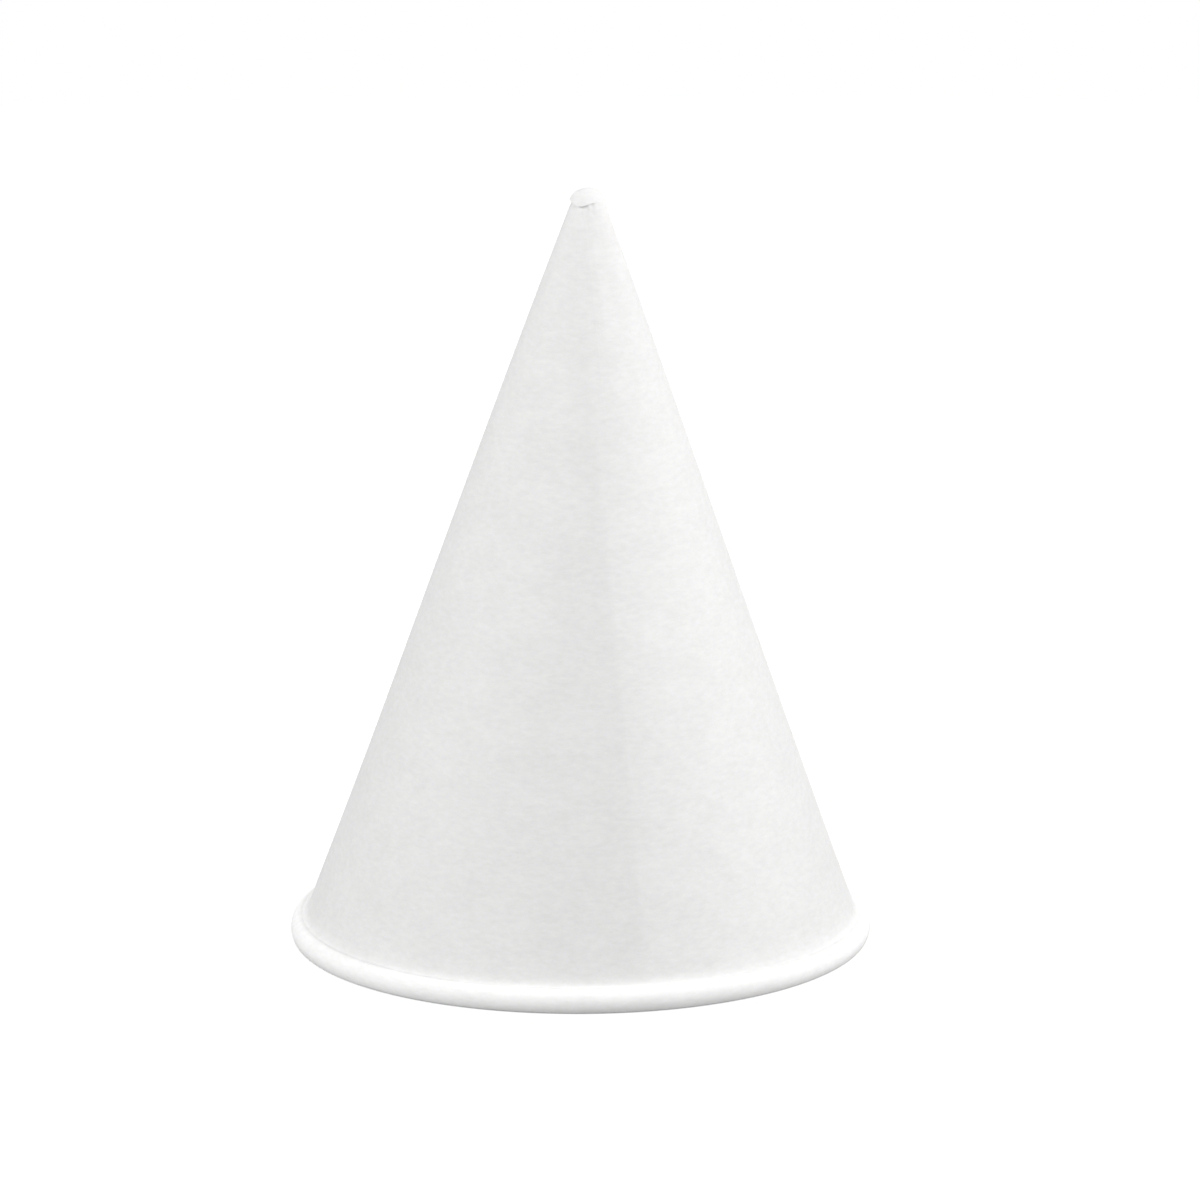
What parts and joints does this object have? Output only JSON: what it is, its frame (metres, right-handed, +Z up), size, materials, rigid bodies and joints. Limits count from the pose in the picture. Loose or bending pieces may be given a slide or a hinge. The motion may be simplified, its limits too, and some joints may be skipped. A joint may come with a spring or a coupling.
{
  "type": "cone paper cup",
  "caption": "White paper cone cup for water: a wound and lapped cone with a folded tip and a rolled rim, standing mouth down on the rim.",
  "frame": {"origin": "centre of the mouth, on the face that the rolled rim stands on", "axes": "+Z up the cone's axis to the tip, -Y the front, with the lapped seam to the +X side of it"},
  "size_m": [0.073, 0.073, 0.095],
  "materials": {
    "paper": "plain white uncoated paper, matt"
  },
  "bodies": {
    "root": {"cup": "paper"}
  },
  "joints": []
}
